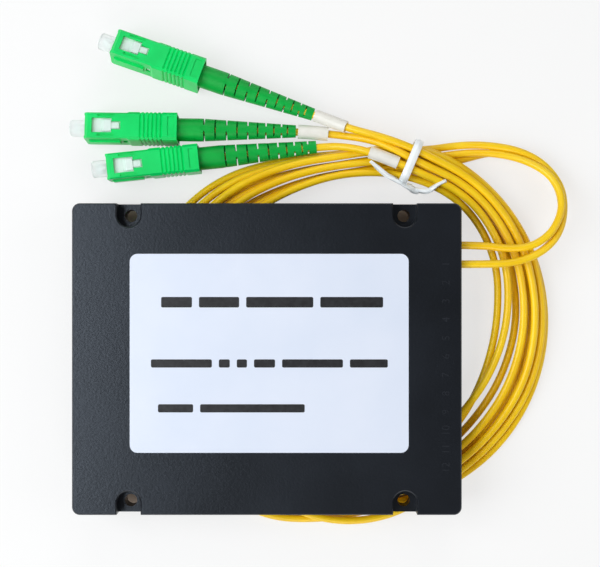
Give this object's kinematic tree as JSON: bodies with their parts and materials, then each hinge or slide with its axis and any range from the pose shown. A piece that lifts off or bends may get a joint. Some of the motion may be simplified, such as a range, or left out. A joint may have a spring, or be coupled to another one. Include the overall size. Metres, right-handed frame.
{
  "type": "fibre-optic plc splitter module",
  "caption": "Flat black box that splits light from one optical fibre into others, with coiled yellow cables beneath it and green plug connectors on their ends.",
  "frame": {"origin": "centre of the rectangular case", "axes": "+X along the case's long side towards the cable exits, +Y across it towards the connectors, +Z out through the cover and its label"},
  "size_m": [0.1313, 0.1314, 0.0161],
  "materials": {
    "case_black": "fine moulded texture",
    "label_white": "printed film, left without its print",
    "metal": "plain nickel-plated or stainless",
    "silica": "polished",
    "seal_rubber": "soft",
    "foam_tape": "foam tape",
    "buffer_white": "smooth",
    "cable_yellow": "satin jacket",
    "tie_white": "plastic-coated wire",
    "housing_green": "smooth moulded",
    "boot_green": "soft elastomer",
    "frame_white": "smooth moulded",
    "ceramic": "polished zirconia",
    "cap_clear": "clear, slightly blue",
    "sleeve_white": "smooth tube"
  },
  "bodies": {
    "case_and_cables": {"adhesive_pad": "foam_tape", "backpost_1": "metal", "backpost_2": "metal", "backpost_3": "metal", "boot_1": "boot_green", "boot_2": "boot_green", "boot_3": "boot_green", "cable_anchor_1": "metal", "cable_anchor_2": "metal", "cable_anchor_3": "metal", "cable_coil": "cable_yellow", "cable_lead_1": "cable_yellow", "cable_lead_2": "cable_yellow", "cable_lead_3": "cable_yellow", "cable_tail_1": "cable_yellow", "cable_tail_2": "cable_yellow", "cable_tail_3": "cable_yellow", "case_base": "case_black", "case_cover": "case_black", "crimp_ring_1": "metal", "crimp_ring_2": "metal", "crimp_ring_3": "metal", "ferrule_spring_1": "metal", "ferrule_spring_2": "metal", "ferrule_spring_3": "metal", "fibre_input": "buffer_white", "fibre_output_1": "buffer_white", "fibre_output_2": "buffer_white", "input_end_seal": "seal_rubber", "input_fibre_block": "silica", "label": "label_white", "marker_sleeve_1": "sleeve_white", "marker_sleeve_2": "sleeve_white", "marker_sleeve_3": "sleeve_white", "output_end_seal": "seal_rubber", "output_fibre_block": "silica", "plug_frame_1": "frame_white", "plug_frame_2": "frame_white", "plug_frame_3": "frame_white", "splitter_chip": "silica", "splitter_housing": "metal", "wire_tie": "tie_white"},
    "housing_1": {"outer_housing_1": "housing_green"},
    "ferrule_body_1": {"ferrule_1": "ceramic", "ferrule_flange_1": "metal"},
    "cap_1": {"dust_cap_1": "cap_clear"},
    "housing_2": {"outer_housing_2": "housing_green"},
    "ferrule_body_2": {"ferrule_2": "ceramic", "ferrule_flange_2": "metal"},
    "cap_2": {"dust_cap_2": "cap_clear"},
    "housing_3": {"outer_housing_3": "housing_green"},
    "ferrule_body_3": {"ferrule_3": "ceramic", "ferrule_flange_3": "metal"},
    "cap_3": {"dust_cap_3": "cap_clear"}
  },
  "joints": [
    {"name": "housing_slide_1", "type": "slide", "parent": "case_and_cables", "child": "housing_1", "axis": [0.9449, -0.3272, 0], "range_m": [0, 0.002]},
    {"name": "ferrule_slide_1", "type": "slide", "parent": "case_and_cables", "child": "ferrule_body_1", "axis": [0.9449, -0.3272, 0], "range_m": [0, 0.0012], "stiffness_N_per_m": 3500, "springref_m": -0.0014, "deforming": ["ferrule_spring_1"]},
    {"name": "cap_slide_1", "type": "slide", "parent": "ferrule_body_1", "child": "cap_1", "axis": [-0.9449, 0.3272, 0], "range_m": [0, 0.012]},
    {"name": "housing_slide_2", "type": "slide", "parent": "case_and_cables", "child": "housing_2", "axis": [0.9999, -0.014, 0], "range_m": [0, 0.002]},
    {"name": "ferrule_slide_2", "type": "slide", "parent": "case_and_cables", "child": "ferrule_body_2", "axis": [0.9999, -0.014, 0], "range_m": [0, 0.0012], "stiffness_N_per_m": 3500, "springref_m": -0.0014, "deforming": ["ferrule_spring_2"]},
    {"name": "cap_slide_2", "type": "slide", "parent": "ferrule_body_2", "child": "cap_2", "axis": [-0.9999, 0.014, 0], "range_m": [0, 0.012]},
    {"name": "housing_slide_3", "type": "slide", "parent": "case_and_cables", "child": "housing_3", "axis": [0.9949, 0.1011, 0], "range_m": [0, 0.002]},
    {"name": "ferrule_slide_3", "type": "slide", "parent": "case_and_cables", "child": "ferrule_body_3", "axis": [0.9949, 0.1011, 0], "range_m": [0, 0.0012], "stiffness_N_per_m": 3500, "springref_m": -0.0014, "deforming": ["ferrule_spring_3"]},
    {"name": "cap_slide_3", "type": "slide", "parent": "ferrule_body_3", "child": "cap_3", "axis": [-0.9949, -0.1011, 0], "range_m": [0, 0.012]}
  ]
}
